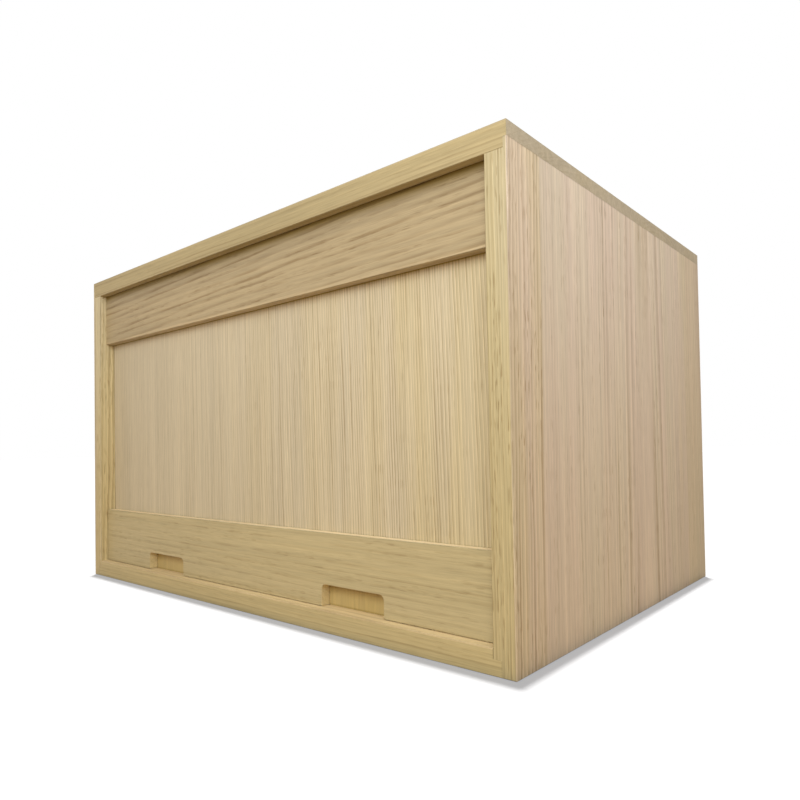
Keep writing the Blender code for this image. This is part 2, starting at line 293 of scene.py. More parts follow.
class KimonoBoxStage(bpy.types.PropertyGroup):
    """Camera and lamps"""

    camera_place: FloatVectorProperty(
        name="Camera Place",
        description="Where the camera stands",
        default=(0.58224, -0.59545, 0.16568),
        unit="LENGTH",
    )
    camera_turn: angle_property("Camera Turn", -38.64, "Turn to the right from the box's depth axis")
    camera_tilt: angle_property("Camera Tilt", 1.195, "Tilt above the horizon")
    camera_roll: angle_property("Camera Roll", -1.004, "Roll about the view")
    lens: FloatProperty(
        name="Lens", description="Focal length in millimetres on a 36 mm frame", default=28.436, min=1.0
    )
    shift: FloatVectorProperty(
        name="Shift",
        description="Shift of the frame, as shares of its width",
        default=(-0.0575, 0.0423),
        size=2,
    )
    lamp_tint: colour_property("Lamp Tint", (0.92, 0.975, 1.0), "Colour of the soft lamps")
    fill_tint: colour_property("Fill Tint", (1.0, 0.82, 0.62), "Colour of the light from all round")
    front_lamp: light_property("Front Lamp", 7.6, "Watts of the soft lamp in front")
    corner_lamp: light_property("Corner Lamp", 10.3, "Watts of the soft lamp at the front right")
    right_lamp: light_property("Right Lamp", 5.8, "Watts of the soft lamp on the right")
    back_lamp: light_property("Back Lamp", 24.0, "Watts of the soft lamp behind")
    floor_lamp: light_property("Floor Lamp", 7.6, "Sunlight overhead that draws the shadow on the floor")
    fill: light_property("Fill", 0.28, "Strength of the light from all round")


# Node helpers


NOISE_ROUGHNESS = 0.6  # strength of each finer layer of a noise against the one before


class NodeBench:
    """Adds nodes to one tree and wires them as they are made."""

    def __init__(self, tree):
        self.nodes = tree.nodes
        self.links = tree.links

    def feed(self, socket, value):
        """Links a socket to another node's output, or sets it to a plain value."""
        if isinstance(value, bpy.types.NodeSocket):
            self.links.new(value, socket)
        else:
            socket.default_value = value

    def add(self, kind, feeds=None, **settings):
        """A new node, with its settings made and its sockets fed by name."""
        node = self.nodes.new(kind)
        for name, setting in settings.items():
            setattr(node, name, setting)
        for name, value in (feeds or {}).items():
            self.feed(node.inputs[name], value)
        return node

    def math(self, operation, *values):
        node = self.add("ShaderNodeMath", operation=operation)
        for socket, value in zip(node.inputs, values):
            self.feed(socket, value)
        return node.outputs[0]

    def product(self, first, *others):
        """All the values multiplied together."""
        for other in others:
            first = self.math("MULTIPLY", first, other)
        return first

    def vector(self, operation, *values):
        node = self.add("ShaderNodeVectorMath", operation=operation)
        for socket, value in zip(node.inputs, values):
            self.feed(socket, value)
        return node.outputs["Vector"]

    def scaled(self, colour, amount):
        """A colour made lighter or darker."""
        node = self.add("ShaderNodeVectorMath", {"Scale": amount}, operation="SCALE")
        self.feed(node.inputs[0], colour)
        return node.outputs["Vector"]

    def split(self, vector):
        return self.add("ShaderNodeSeparateXYZ", {"Vector": vector}).outputs

    def joined(self, x, y, z):
        return self.add("ShaderNodeCombineXYZ", {"X": x, "Y": y, "Z": z}).outputs["Vector"]

    def ease(self, value, low, high, start=0.0, end=1.0):
        """Goes smoothly from start to end as value goes from low to high."""
        feeds = {"Value": value, "From Min": low, "From Max": high, "To Min": start, "To Max": end}
        return self.add("ShaderNodeMapRange", feeds, interpolation_type="SMOOTHSTEP").outputs["Result"]

    def noise(self, place, size, detail=0.0):
        """Noise from 0 to 1 in cells of this size, in millimetres across and along the grain."""
        across, along = size
        cells = self.vector("DIVIDE", place, (across, along, across))
        feeds = {"Vector": cells, "Scale": 1.0, "Detail": detail, "Roughness": NOISE_ROUGHNESS}
        return self.add("ShaderNodeTexNoise", feeds).outputs["Fac"]

    def swing(self, noise, reach=1.0):
        """Noise moved to swing about zero, by reach either way."""
        return self.math("MULTIPLY", self.math("SUBTRACT", noise, 0.5), reach * 2)

    def mixed(self, amount, first, second, blend="MIX"):
        """Colour between first and second."""
        node = self.add("ShaderNodeMix", data_type="RGBA", blend_type=blend)
        sockets = {socket.identifier: socket for socket in node.inputs}
        self.feed(sockets["Factor_Float"], amount)
        self.feed(sockets["A_Color"], first)
        self.feed(sockets["B_Color"], second)
        return next(socket for socket in node.outputs if socket.identifier == "Result_Color")

    def tinted(self, amount, colour, share):
        """A colour that loses, by this amount, all but a share of its red, green and blue."""
        return self.mixed(amount, colour, (*share, 1.0), "MULTIPLY")


# Wood


# Sizes of what shows in the wood, across and along the grain in millimetres
FIBRE = (0.8, 28.0)
STREAK = (4.0, 320.0)
BAND = (46.0, 420.0)
WARM_PATCH = (34.0, 520.0)
VESSEL = (0.9, 13.0)
VESSEL_CLUMP = (9.0, 120.0)
BEND = (75.0, 260.0)
RIPPLE = (9.0, 70.0)
WEAR_AND_SHADE_PATCH = (30.0, 30.0)
LINE_FADE = 7.0  # across alone, since each board says how far its lines run

# How much fibres, streaks and bands lighten or darken the wood
FIBRE_TONE = 0.22
STREAK_TONE = 0.20
BAND_TONE = 0.10

# How far a ring ripples against how far it wanders, how quickly ring widths change from year to year, and
# by how many rings that moves a ring
RIPPLE_SHARE = 0.6
YEARLY_CHANGE = 0.37
UNEVENNESS = 0.9

# A ring grows from 0 to 1. Its dark line starts, and is full, at the latest place less these times the
# share of the ring that it takes.
LINE_LATEST = 0.95
LINE_START = 1.2
LINE_FULL = 0.4

# A smooth change from start to end, as a value goes from low to high
Ease = namedtuple("Ease", "low high start end", defaults=(0.0, 1.0))

# Changes over a ring's growth
LINE_ENDS = Ease(0.86, 1.0, 1.0, 0.0)
PALE_COMES = Ease(0.82, 0.98)
PALE_GOES = Ease(0.0, 0.14, 1.0, 0.0)
PORES_COME = Ease(0.2, 0.9, 0.4, 1.0)

# Changes over a noise
LINE_STRENGTH = Ease(0.0, 1.0, 0.45, 1.0)
LINE_FADES = Ease(0.32, 0.66, 0.1, 1.25)
VESSEL_OPENS = Ease(0.56, 0.70)
CLUMP_OPENS = Ease(0.40, 0.62)
WARM_COMES = Ease(0.3, 0.7)
WEAR_AND_SHADE_COMES = Ease(0.35, 0.65, 0.4, 1.0)

# Changes over how squarely the grain meets a face, and over how much of an end that makes it
END_GRAIN = Ease(0.6, 0.9)
END_MARKS = Ease(0.0, 1.0, 1.0, 0.35)
END_ROUGHNESS = Ease(0.0, 1.0, 0.56, 0.70)

# Changes over millimetres from an edge and from the show face, and over the edges' wear and painted shade
EDGE_WEAR_AND_SHADE = Ease(0.2, 1.2, 1.0, 0.0)
SHOW_FACE = Ease(0.5, 1.5, 1.0, 0.0)
WEAR_AND_SHADE_TONE = Ease(0.0, 1.0, 1.0, 0.80)

# How dark a pore is against a ring's line, and what dark grain and wear add to the roughness
PORE_DARKNESS = 0.55
DARK_ROUGHNESS = 0.08
WORN_ROUGHNESS = -0.06

SPECULAR = 0.35
LINE_RELIEF = -0.5  # how high a ring's line stands against the fibres
BUMP_STRENGTH = 0.25
BUMP_HEIGHT = 0.0002

# The covered length of a board that no other covers, which stops short of its first end, and how softly a
# covered length ends, in millimetres
NOT_COVERED = -1.0
COVER_BLUR = 0.5

# How far painted shade reaches down the strip, down the lid, down from a notch's head and up from its foot,
# in metres, and how strong it is in a notch
STRIP_SHADE = 0.011
LID_SHADE = 0.0015
NOTCH_HEAD_SHADE = 0.0125
NOTCH_HEAD_SHADE_AMOUNT = 0.40
NOTCH_FOOT_SHADE = 0.0013
NOTCH_FOOT_SHADE_AMOUNT = 0.40

GRAIN_INPUTS = (
    "Heart Across",
    "Heart Deep",
    "Ring Width",
    "Lean",
    "Taper",
    "Wander",
    "Late",
    "Run",
    "Seed",
)
GRAIN_OUTPUTS = ("Line", "Pale", "Pore", "Light", "Warm", "Fibre")
SEED_STEP = 1370.0  # millimetres of log between two boards' grain

# The rod that dowels and pegs are turned from: its grain, and how much its lines and pores show
ROD_GRAIN = {
    "Heart Across": 18.0,
    "Heart Deep": 7.0,
    "Ring Width": 1.6,
    "Lean": 0.03,
    "Wander": 0.3,
    "Late": 0.5,
    "Run": 60.0,
    "Seed": 7.0,
}
ROD_LINES = 0.7
ROD_PORES = 0.4
ROD_ROUGHNESS = Ease(0.0, 1.0, 0.58, 0.66)  # over how dark the grain is


def sawn_grain():
    """The node group that gives the grain at a place in the log: rings, fibres, pores and tone."""
    tree = bpy.data.node_groups.get("sawn_grain")
    if tree:
        return tree
    tree = bpy.data.node_groups.new("sawn_grain", "ShaderNodeTree")
    tree.interface.new_socket("Place", in_out="INPUT", socket_type="NodeSocketVector")
    for name in GRAIN_INPUTS:
        tree.interface.new_socket(name, in_out="INPUT", socket_type="NodeSocketFloat")
    for name in GRAIN_OUTPUTS:
        tree.interface.new_socket(name, in_out="OUTPUT", socket_type="NodeSocketFloat")
    bench = NodeBench(tree)
    given = bench.add("NodeGroupInput").outputs
    across, along, deep = bench.split(given["Place"])
    start = bench.math("MULTIPLY", given["Seed"], SEED_STEP)
    place = bench.joined(across, bench.math("ADD", along, start), deep)

    # How far a place is from the log's heart, bent by how the tree grew
    lean = bench.math("MULTIPLY", along, given["Lean"])
    bend = bench.math("MULTIPLY", bench.swing(bench.noise(place, BEND, detail=1.0)), given["Wander"])
    ripple = bench.math("MULTIPLY", bench.swing(bench.noise(place, RIPPLE), RIPPLE_SHARE), given["Wander"])
    bent = bench.math("ADD", bench.math("ADD", across, lean), bench.math("ADD", bend, ripple))
    from_heart = bench.math("SUBTRACT", bent, given["Heart Across"])
    below = bench.math("SUBTRACT", deep, given["Heart Deep"])
    below = bench.math("SUBTRACT", below, bench.math("MULTIPLY", along, given["Taper"]))
    squares = bench.math("ADD", bench.math("POWER", from_heart, 2.0), bench.math("POWER", below, 2.0))
    radius = bench.math("SQRT", squares)

    # Rings of uneven width, each with a dark line of its own strength that fades in and out
    even = bench.math("DIVIDE", radius, given["Ring Width"])
    years = bench.joined(bench.math("MULTIPLY", even, YEARLY_CHANGE), given["Seed"], 0.0)
    uneven = bench.add("ShaderNodeTexNoise", {"Vector": years, "Scale": 1.0, "Detail": 1.0})
    count = bench.math("ADD", even, bench.swing(uneven.outputs["Fac"], UNEVENNESS))
    ring = bench.math("FLOOR", count)
    growth = bench.math("FRACT", count)
    starts = bench.math("MULTIPLY_ADD", given["Late"], -LINE_START, LINE_LATEST)
    full = bench.math("MULTIPLY_ADD", given["Late"], -LINE_FULL, LINE_LATEST)
    line = bench.math("MULTIPLY", bench.ease(growth, starts, full), bench.ease(growth, *LINE_ENDS))
    of_ring = bench.joined(ring, given["Seed"], 0.0)
    strength = bench.add("ShaderNodeTexWhiteNoise", {"Vector": of_ring}).outputs["Value"]
    stretch = bench.joined(LINE_FADE, given["Run"], LINE_FADE)
    patch = bench.add(
        "ShaderNodeTexNoise",
        {"Vector": bench.vector("DIVIDE", place, stretch), "Scale": 1.0, "Detail": 1.0},
    ).outputs["Fac"]
    line = bench.product(line, bench.ease(strength, *LINE_STRENGTH), bench.ease(patch, *LINE_FADES))

    # The pale edge between one ring's line and the next ring
    pale = bench.math("MAXIMUM", bench.ease(growth, *PALE_COMES), bench.ease(growth, *PALE_GOES))

    # Pores cut open along the grain, in loose clumps and fainter where a ring begins
    vessel = bench.ease(bench.noise(place, VESSEL), *VESSEL_OPENS)
    clump = bench.ease(bench.noise(place, VESSEL_CLUMP, detail=1.0), *CLUMP_OPENS)
    pore = bench.product(vessel, clump, bench.ease(growth, *PORES_COME))

    # Fibres, streaks and broad bands of tone, and patches of warmer wood
    fibre = bench.swing(bench.noise(place, FIBRE, detail=2.0))
    streak = bench.swing(bench.noise(place, STREAK, detail=2.0))
    band = bench.swing(bench.noise(place, BAND, detail=1.0))
    light = bench.math("MULTIPLY_ADD", fibre, FIBRE_TONE, 1.0)
    light = bench.math("MULTIPLY_ADD", streak, STREAK_TONE, light)
    light = bench.math("MULTIPLY_ADD", band, BAND_TONE, light)
    warm = bench.ease(bench.noise(place, WARM_PATCH, detail=1.0), *WARM_COMES)
    results = (line, pale, pore, light, warm, fibre)
    bench.add("NodeGroupOutput", dict(zip(GRAIN_OUTPUTS, results)))
    return tree


def across_board(bench, share, width, stations, field, interpolation):
    """What a table of staves or looks gives for one field at a share of a board's width."""
    ramp = bench.add("ShaderNodeValToRGB", {"Fac": share})
    ramp.color_ramp.interpolation = interpolation
    stops = ramp.color_ramp.elements
    stops.remove(stops[1])
    for number, station in enumerate(stations):
        at = min(1.0, station[0] / width)
        stop = stops.new(at) if number else stops[0]
        stop.position = at
        value = getattr(station, field)
        stop.color = (value, value, value, 1.0)
    return ramp.outputs["Color"]


def edge_distance(bench, place, size):
    """How far a place on a board's surface is from the board's nearest edge, in millimetres."""
    inside = bench.vector("MINIMUM", place, bench.vector("SUBTRACT", size, place))
    x, y, z = bench.split(inside)
    nearer = bench.math("MINIMUM", x, y)
    farther = bench.math("MAXIMUM", x, y)
    return bench.math("MAXIMUM", nearer, bench.math("MINIMUM", farther, z))


def raw_wood(name):
    """A new material, with a bench for its nodes and its shader."""
    material = bpy.data.materials.new(name)
    material.use_nodes = True
    tree = material.node_tree
    return material, NodeBench(tree), tree.nodes["Principled BSDF"]


def unvarnished(bench, shader, colour, roughness, relief):
    """Gives a shader the colour, roughness and relief of bare wood."""
    bench.feed(shader.inputs["Base Color"], colour)
    bench.feed(shader.inputs["Roughness"], roughness)
    shader.inputs["Specular IOR Level"].default_value = SPECULAR
    feeds = {"Height": relief, "Strength": BUMP_STRENGTH, "Distance": BUMP_HEIGHT}
    bump = bench.add("ShaderNodeBump", feeds)
    bench.feed(shader.inputs["Normal"], bump.outputs["Normal"])


def planed_wood(name, node, board, colours, face, edge, ends, seed, covered, shaded_corners):
    """A material for one board of planed, unvarnished wood.

    It takes one colour on its show face, another on its edges and a third on its ends. The length at its
    first end that another board covers has the edges' colour too, and shows no lines. The last argument
    lists the corners and creases where shade is painted into the colour.
    """
    material, bench, shader = raw_wood(name)
    spot = bench.add("ShaderNodeTexCoord").outputs
    metres = bench.split(spot["Object"])
    low, high = [Vector(corner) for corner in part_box(node)]

    # Millimetres from the board's first edge, first end and show face
    axes = ["XYZ".index(axis) for axis in board.axes]
    starts = [low[axis] for axis in axes]
    ways = [MILLIMETRES] * 3
    if board.shows == "high":
        starts[2] = high[axes[2]]
        ways[2] = -MILLIMETRES
    across, along, deep = [
        bench.math("MULTIPLY", bench.math("SUBTRACT", metres[axis], start), way)
        for axis, start, way in zip(axes, starts, ways)
    ]
    place = bench.joined(across, along, deep)
    size = [(high[axis] - low[axis]) * MILLIMETRES for axis in axes]

    # How the stave at this place was sawn, how it looks, and the grain that it shows
    width = size[0]
    share = bench.math("DIVIDE", across, width)
    cut = {
        field: across_board(bench, share, width, board.staves, field, "CONSTANT")
        for field in Stave._fields[1:]
    }
    look = {
        field: across_board(bench, share, width, board.looks, field, "EASE")
        for field in Look._fields[1:]
    }
    grain = bench.add(
        "ShaderNodeGroup",
        {
            "Place": place,
            "Heart Across": cut["heart_across"],
            "Heart Deep": cut["heart_deep"],
            "Ring Width": cut["ring_width"],
            "Lean": board.lean,
            "Taper": board.taper,
            "Wander": board.wander,
            "Late": board.late,
            "Run": board.run,
            "Seed": seed,
        },
        node_tree=sawn_grain(),
    ).outputs

    # End grain, where the board is cut across its fibres, shows its lines less, and a covered length not
    # at all
    facing = bench.split(spot["Normal"])[axes[1]]
    end = bench.ease(bench.math("ABSOLUTE", facing), *END_GRAIN)
    bared = bench.ease(along, covered - COVER_BLUR, covered + COVER_BLUR)
    marks = bench.math("MULTIPLY", bench.ease(end, *END_MARKS), bared)
    line = bench.product(grain["Line"], look["lines"], marks)
    pore = bench.product(grain["Pore"], look["pores"], marks)
    pale = bench.product(grain["Pale"], look["lines"], marks)
    dark = bench.math("MINIMUM", bench.math("MULTIPLY_ADD", pore, PORE_DARKNESS, line), 1.0)

    # Edges darkened in patches, more in some places than in others, partly as handling wear and partly as
    # painted shade that dims the highlight their rounding catches
    wear_and_shade = bench.ease(edge_distance(bench, place, size), *EDGE_WEAR_AND_SHADE)
    patch = bench.noise(place, WEAR_AND_SHADE_PATCH, detail=2.0)
    wear_and_shade = bench.math("MULTIPLY", wear_and_shade, bench.ease(patch, *WEAR_AND_SHADE_COMES))

    # The colours of face, edges and ends, and what painted shade at the foot, warmth, dark grain and painted
    # shade in corners and creases leave of them
    shown = bench.math("MULTIPLY", bench.ease(deep, *SHOW_FACE), bared)
    blush = bench.math("MULTIPLY", bench.math("SUBTRACT", 1.0, grain["Warm"]), board.blush)
    wood = bench.mixed(shown, (*edge, 1.0), bench.tinted(blush, (*face, 1.0), colours.blush))
    wood = bench.mixed(end, wood, (*ends, 1.0))
    # Painted shade: the board darker and yellower towards its first end, its foot, as light from above would
    # leave it
    wood = bench.tinted(bench.ease(along, 0.0, size[1], board.aged, 0.0), wood, colours.aged)
    all_over = bench.math("MAXIMUM", bench.math("SUBTRACT", look["warmth"], 1.0), 0.0)
    warmth = bench.math("MULTIPLY_ADD", grain["Warm"], look["warmth"], all_over)
    wood = bench.tinted(warmth, wood, colours.warm)
    wood = bench.tinted(dark, wood, colours.late)
    # Painted shade in the corners and creases: under the top board, under the strip and in the finger
    # notches
    for painted_shade in shaded_corners:
        amount = bench.ease(metres[2], painted_shade.ends, painted_shade.thickest, 0.0, painted_shade.amount)
        if painted_shade.covered:
            amount = bench.math("MULTIPLY", amount, bench.math("SUBTRACT", 1.0, bared))
        wood = bench.tinted(amount, wood, colours.painted_shade)
    # Lightness from the grain and the looks, darkened at the edges by wear and by painted shade
    light = bench.math("MULTIPLY_ADD", pale, board.pale, grain["Light"])
    light = bench.product(light, look["lightness"], bench.ease(wear_and_shade, *WEAR_AND_SHADE_TONE))

    # Roughness and relief
    rough = bench.math("MULTIPLY_ADD", dark, DARK_ROUGHNESS, bench.ease(end, *END_ROUGHNESS))
    rough = bench.math("MULTIPLY_ADD", wear_and_shade, WORN_ROUGHNESS, rough)
    relief = bench.math("SUBTRACT", bench.math("MULTIPLY_ADD", line, LINE_RELIEF, grain["Fibre"]), pore)
    unvarnished(bench, shader, bench.scaled(wood, light), rough, relief)
    return material


def turned_wood(name, colours):
    """A material for turned dowels and pegs, with its grain along each one."""
    material, bench, shader = raw_wood(name)
    turned = bench.add("ShaderNodeAttribute", attribute_name="turned_place").outputs["Vector"]
    x, y, z = bench.split(bench.vector("MULTIPLY", turned, (MILLIMETRES,) * 3))
    feeds = {"Place": bench.joined(x, z, y), **ROD_GRAIN}
    grain = bench.add("ShaderNodeGroup", feeds, node_tree=sawn_grain()).outputs
    line = bench.math("MULTIPLY", grain["Line"], ROD_LINES)
    dark = bench.math("MULTIPLY_ADD", grain["Pore"], ROD_PORES, line)
    wood = bench.scaled(bench.tinted(dark, (*colours.dowel, 1.0), colours.late), grain["Light"])
    relief = bench.math("SUBTRACT", grain["Fibre"], dark)
    unvarnished(bench, shader, wood, bench.ease(dark, *ROD_ROUGHNESS), relief)
    return material


# Pieces


MERGE_DISTANCE = 1e-6  # between corners that are one
FLAT_ANGLE = math.radians(1.0)  # between triangles of one flat face
CORNER_ANGLE = math.radians(60.0)  # between faces that meet in a sharp edge
ROUND_PROFILE = 0.5


def add_piece(context, name, mesh, body, nodes):
    """Puts a finished mesh in the scene, to ride on a body in place of the nodes it stands for."""
    piece = bpy.data.objects.new(name, mesh)
    context.scene.collection.objects.link(piece)
    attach(piece, body)
    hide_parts(*nodes)
    return piece


def planed_board(context, node, body, material):
    """A finished board: the solid's own shape, with the edges that were left sharp softened."""
    sizes = context.scene.kimono_box_sizes
    shape = bmesh.new()
    shape.from_mesh(frame["nodes"][node].data)
    bmesh.ops.remove_doubles(shape, verts=shape.verts, dist=MERGE_DISTANCE)
    bmesh.ops.dissolve_limit(shape, angle_limit=FLAT_ANGLE, verts=shape.verts, edges=shape.edges)
    # The case's boards press into their joints, and the lid stays free
    if body == "case":
        shape.normal_update()
        steps = [vertex.normal * vertex.calc_shell_factor() * sizes.snug for vertex in shape.verts]
        for vertex, step in zip(shape.verts, steps):
            vertex.co += step
    sharp = [edge for edge in shape.edges if edge.calc_face_angle(0.0) > CORNER_ANGLE]
    bmesh.ops.bevel(
        shape,
        geom=sharp,
        offset=sizes.arris,
        segments=sizes.arris_steps,
        profile=ROUND_PROFILE,
        affect="EDGES",
        clamp_overlap=True,
    )
    for face in shape.faces:
        face.smooth = True
    name = f"planed_{node}"
    mesh = bpy.data.meshes.new(name)
    shape.to_mesh(mesh)
    shape.free()
    mesh.materials.append(material)
    piece = add_piece(context, name, mesh, body, [node])
    piece.modifiers.new("flat_faces", "WEIGHTED_NORMAL")
    return piece


PEG_INPUTS = (
    ("Radius", "NodeSocketFloat"),
    ("Length", "NodeSocketFloat"),
    ("Chamfer", "NodeSocketFloat"),
    ("Flutes", "NodeSocketInt"),
    ("Flute Depth", "NodeSocketFloat"),
    ("Wood", "NodeSocketMaterial"),
)
FACETS_PER_FLUTE = 4
ROD_STRETCHES = 3  # two chamfers and what is between them
END_SHARE = 0.9  # of a rod's half length, past which a corner is at its end
PEG_CORNER_ANGLE = math.radians(30.0)


def turned_pegs():
    """The geometry nodes that turn one fluted peg and set a copy on each point, along its axis."""
    tree = bpy.data.node_groups.get("turned_pegs")
    if tree:
        return tree
    tree = bpy.data.node_groups.new("turned_pegs", "GeometryNodeTree")
    tree.interface.new_socket("Points", in_out="INPUT", socket_type="NodeSocketGeometry")
    for name, kind in PEG_INPUTS:
        tree.interface.new_socket(name, in_out="INPUT", socket_type=kind)
    tree.interface.new_socket("Pegs", in_out="OUTPUT", socket_type="NodeSocketGeometry")
    bench = NodeBench(tree)
    given = bench.add("NodeGroupInput").outputs
    around = bench.math("MULTIPLY", given["Flutes"], FACETS_PER_FLUTE)
    feeds = {
        "Vertices": around,
        "Side Segments": ROD_STRETCHES,
        "Radius": given["Radius"],
        "Depth": given["Length"],
    }
    rod = bench.add("GeometryNodeMeshCylinder", feeds, fill_type="NGON").outputs["Mesh"]

    # The two rings between the ends slide out to where the chamfers start
    spot = bench.add("GeometryNodeInputPosition").outputs["Position"]
    x, y, z = bench.split(spot)
    half = bench.math("MULTIPLY", given["Length"], 0.5)
    height = bench.math("ABSOLUTE", z)
    at_end = bench.math("GREATER_THAN", height, bench.math("MULTIPLY", half, END_SHARE))
    drop = bench.math("MULTIPLY", bench.math("SUBTRACT", 1.0, at_end), given["Chamfer"])
    new_z = bench.math("MULTIPLY", bench.math("SIGN", z), bench.math("SUBTRACT", half, drop))

    # The ends narrow by the chamfer, and the flutes run along the whole rod
    turn = bench.math("MULTIPLY", bench.math("ARCTAN2", y, x), given["Flutes"])
    flute = bench.math("MULTIPLY_ADD", bench.math("COSINE", turn), 0.5, 0.5)
    inset = bench.math("MULTIPLY", flute, given["Flute Depth"])
    inset = bench.math("MULTIPLY_ADD", at_end, given["Chamfer"], inset)
    share = bench.math("SUBTRACT", 1.0, bench.math("DIVIDE", inset, given["Radius"]))
    shaped = bench.joined(bench.math("MULTIPLY", x, share), bench.math("MULTIPLY", y, share), new_z)
    rod = bench.add("GeometryNodeSetPosition", {"Geometry": rod, "Position": shaped}).outputs["Geometry"]
    rod = bench.add(
        "GeometryNodeStoreNamedAttribute",
        {"Geometry": rod, "Name": "turned_place", "Value": spot},
        data_type="FLOAT_VECTOR",
    ).outputs["Geometry"]

    axis = bench.add("GeometryNodeInputNamedAttribute", {"Name": "peg_axis"}, data_type="FLOAT_VECTOR")
    turned = bench.add("FunctionNodeAlignRotationToVector", {"Vector": axis.outputs["Attribute"]}, axis="Z")
    pegs = bench.add(
        "GeometryNodeInstanceOnPoints",
        {"Points": given["Points"], "Instance": rod, "Rotation": turned.outputs["Rotation"]},
    ).outputs["Instances"]
    pegs = bench.add("GeometryNodeRealizeInstances", {"Geometry": pegs}).outputs["Geometry"]
    pegs = bench.add("GeometryNodeSetMaterial", {"Geometry": pegs, "Material": given["Wood"]})
    bench.add("NodeGroupOutput", {"Pegs": pegs.outputs["Geometry"]})
    return tree


def peg_row(context, name, nodes, body, material, flute_depth):
    """Turns the pegs that stand for some like nodes, each where its node is."""
    sizes = context.scene.kimono_box_sizes
    boxes = [[Vector(corner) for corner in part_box(node)] for node in nodes]
    reach = boxes[0][1] - boxes[0][0]
    length = max(reach)
    axis = Vector([1.0 if side == length else 0.0 for side in reach])
    points = bpy.data.meshes.new(f"{name}_points")
    points.from_pydata([(low + high) / 2 for low, high in boxes], [], [])
    axes = points.attributes.new("peg_axis", "FLOAT_VECTOR", "POINT")
    for place in axes.data:
        place.vector = axis
    source = bpy.data.objects.new(f"{name}_points", points)
    context.scene.collection.objects.link(source)
    tree = turned_pegs()
    values = {
        "Radius": min(reach) / 2,
        "Length": length,
        "Chamfer": sizes.peg_chamfer,
        "Flutes": sizes.flutes,
        "Flute Depth": flute_depth,
        "Wood": material,
    }
    modifier = source.modifiers.new("turned_pegs", "NODES")
    modifier.node_group = tree
    for socket in tree.interface.items_tree:
        if socket.in_out == "INPUT" and socket.name in values:
            modifier[socket.identifier] = values[socket.name]
    solved = source.evaluated_get(context.evaluated_depsgraph_get())
    mesh = bpy.data.meshes.new_from_object(solved)
    mesh.name = name
    bpy.data.objects.remove(source)
    if not mesh.polygons:
        raise RuntimeError(f"the nodes turned no pegs for {name}")
    mesh.shade_smooth()
    mesh.set_sharp_from_angle(angle=PEG_CORNER_ANGLE)
    return add_piece(context, name, mesh, body, nodes)


# Stage


WHITE = (1.0, 1.0, 1.0, 1.0)
FLOOR_SIZE = 40.0
FLOOR_DROP = 0.0004  # keeps the floor off the boards that stand on it
SHADE_COLOUR = (0.385, 0.393, 0.41, 1.0)  # of the floor where no lamp reaches it
LIT_COLOUR = (0.25, 0.25, 0.25, 1.0)  # with which it takes its lamp's light
BOUNCE_COLOUR = (0.235, 0.175, 0.11, 1.0)  # with which it throws light back at the box
FRAME_WIDTH = 36.0  # millimetres, as the lens is given for
NEAREST_SEEN = 0.01

# Where a lamp is round the box and above the floor, in degrees, how far it is from the box's middle and how
# wide it is. Azimuth 0 is straight in front and 90 is on the right.
Lamp = namedtuple("Lamp", "name azimuth elevation distance width")
SOFT_LAMPS = (
    Lamp("front_lamp", 10.0, 27.0, 1.8, 0.9),
    Lamp("corner_lamp", 35.0, 28.0, 1.4, 0.9),
    Lamp("right_lamp", 80.0, 45.0, 1.3, 0.9),
    Lamp("back_lamp", 222.0, 20.0, 1.8, 1.2),
)
FLOOR_LAMP = Lamp("floor_lamp", 225.0, 87.8, 1.8, math.radians(1.3))  # a sun, so its width is an angle


def show_to_camera(bench, shown, other, output):
    """Ends a tree in one shader for what the camera sees and another for the rest of the light.

    What it sees in a reflection or through glass counts as seen.
    """
    path = bench.add("ShaderNodeLightPath").outputs
    seen = bench.math("MAXIMUM", path["Is Camera Ray"], path["Is Glossy Ray"])
    seen = bench.math("MAXIMUM", seen, path["Is Transmission Ray"])
    mixed = bench.add("ShaderNodeMixShader", {"Fac": seen})
    bench.feed(mixed.inputs[1], other.outputs[0])
    bench.feed(mixed.inputs[2], shown.outputs[0])
    bench.add(output, {"Surface": mixed.outputs[0]})


def white_world(context):
    """A world that looks white, and lights the box faintly from all round."""
    stage = context.scene.kimono_box_stage
    world = bpy.data.worlds.new("white_studio")
    world.use_nodes = True
    context.scene.world = world
    world.node_tree.nodes.clear()
    bench = NodeBench(world.node_tree)
    white = bench.add("ShaderNodeBackground", {"Color": WHITE, "Strength": 1.0})
    fill = bench.add("ShaderNodeBackground", {"Color": (*stage.fill_tint, 1.0), "Strength": stage.fill})
    show_to_camera(bench, white, fill, "ShaderNodeOutputWorld")


def pale_floor(context):
    """A wide floor that is white where it is lit and keeps the box's shadow."""
    shape = bmesh.new()
    bmesh.ops.create_grid(shape, x_segments=1, y_segments=1, size=FLOOR_SIZE / 2)
    bmesh.ops.translate(shape, vec=(0.0, 0.0, cad_box[0][2] - FLOOR_DROP), verts=shape.verts)
    mesh = bpy.data.meshes.new("floor")
    shape.to_mesh(mesh)
    shape.free()
    floor = bpy.data.objects.new("floor", mesh)
    context.scene.collection.objects.link(floor)
    material = bpy.data.materials.new("pale_floor")
    material.use_nodes = True
    mesh.materials.append(material)
    material.node_tree.nodes.clear()
    bench = NodeBench(material.node_tree)
    shade = bench.add("ShaderNodeEmission", {"Color": SHADE_COLOUR, "Strength": 1.0})
    lit = bench.add("ShaderNodeBsdfDiffuse", {"Color": LIT_COLOUR})
    seen = bench.add("ShaderNodeAddShader")
    bench.feed(seen.inputs[0], shade.outputs[0])
    bench.feed(seen.inputs[1], lit.outputs[0])
    bounce = bench.add("ShaderNodeBsdfDiffuse", {"Color": BOUNCE_COLOUR})
    show_to_camera(bench, seen, bounce, "ShaderNodeOutputMaterial")
    return floor


def lights_on(name, floor, state):
    """A collection that ties a lamp's light to the floor, or keeps it off the floor."""
    linked = bpy.data.collections.new(name)
    linked.objects.link(floor)
    linked.collection_objects[0].light_linking.link_state = state
    return linked


